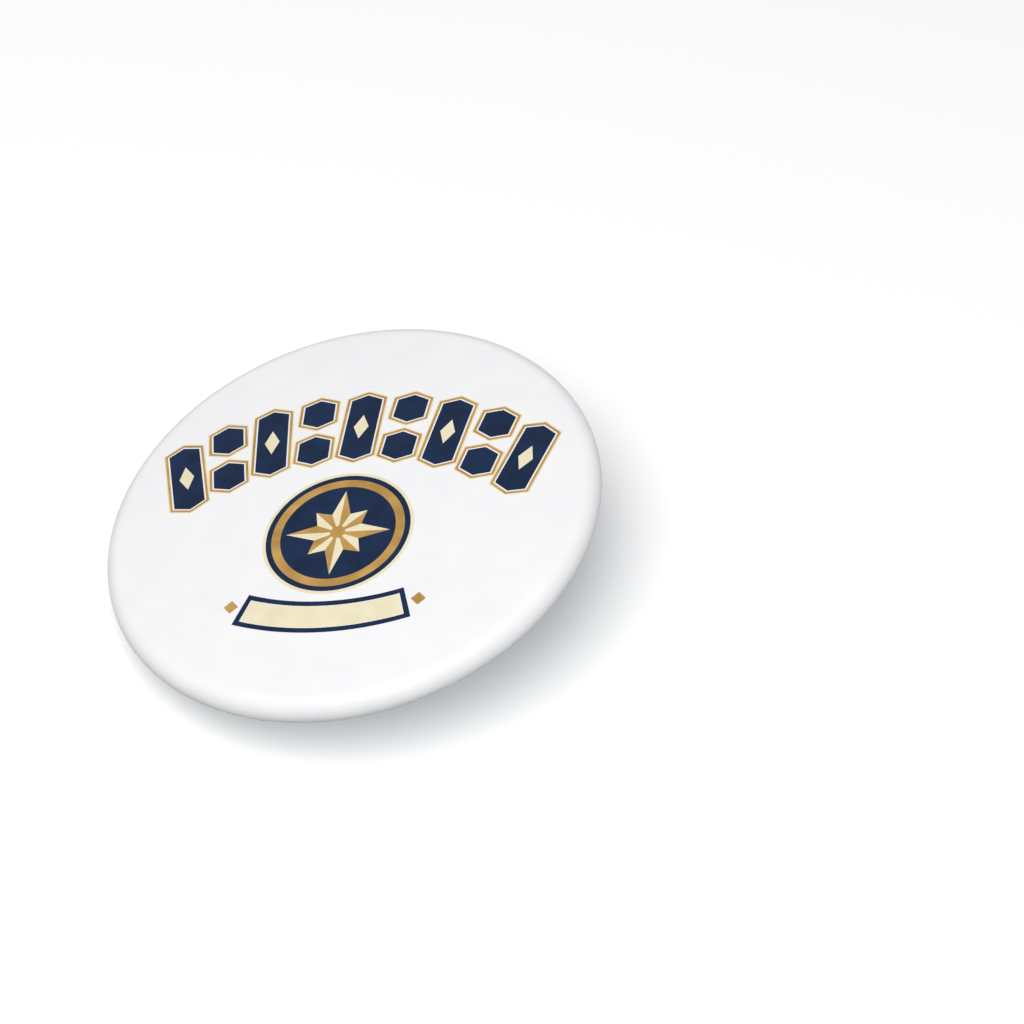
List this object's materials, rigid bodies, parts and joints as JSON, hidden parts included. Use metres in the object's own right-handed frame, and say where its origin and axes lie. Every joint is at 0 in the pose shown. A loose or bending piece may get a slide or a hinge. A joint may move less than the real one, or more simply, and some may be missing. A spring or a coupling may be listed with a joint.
{
  "type": "button badge",
  "caption": "Round pin-back button badge: a printed, film-covered domed shell crimped over a polished back plate with a sprung wire pin and catch.",
  "frame": {"origin": "on the axis of the pin's straight shank, where it passes the badge's vertical centre line", "axes": "+Z is the artwork's up, -Y the way the face looks, +Y towards the wearer, +X to the right as seen from the front"},
  "size_m": [0.058, 0.0101, 0.058],
  "materials": {
    "clear_film": "satin clear film",
    "paper_sheet": "smooth white",
    "ink_navy": "flat printed navy",
    "ink_gold": "flat printed gold",
    "ink_cream": "flat printed cream",
    "front_shell": "plain tinplate",
    "back_plate": "bright tinplate, satin on its flat middle",
    "pin_wire": "polished spring wire"
  },
  "bodies": {
    "badge": {"clear_film": "clear_film", "paper_sheet": "paper_sheet", "ink_navy": "ink_navy", "ink_gold": "ink_gold", "ink_cream": "ink_cream", "front_shell": "front_shell", "back_plate": "back_plate", "pin_base_wire": "pin_wire"},
    "coil": {"pin_coil": "pin_wire"},
    "arm": {"pin_arm": "pin_wire"}
  },
  "joints": [
    {"name": "pin_sideways", "type": "hinge", "parent": "badge", "child": "coil", "pos_m": [-0.0175, -0.00228, 0], "axis": [0, -1, 0], "range_deg": [0, 5], "stiffness_Nm_per_rad": 0.2, "deforming": ["pin_coil"]},
    {"name": "pin_open", "type": "hinge", "parent": "coil", "child": "arm", "pos_m": [-0.0175, -0.00228, 0], "axis": [0, 0, 1], "range_deg": [0, 35], "deforming": ["pin_coil"]}
  ]
}
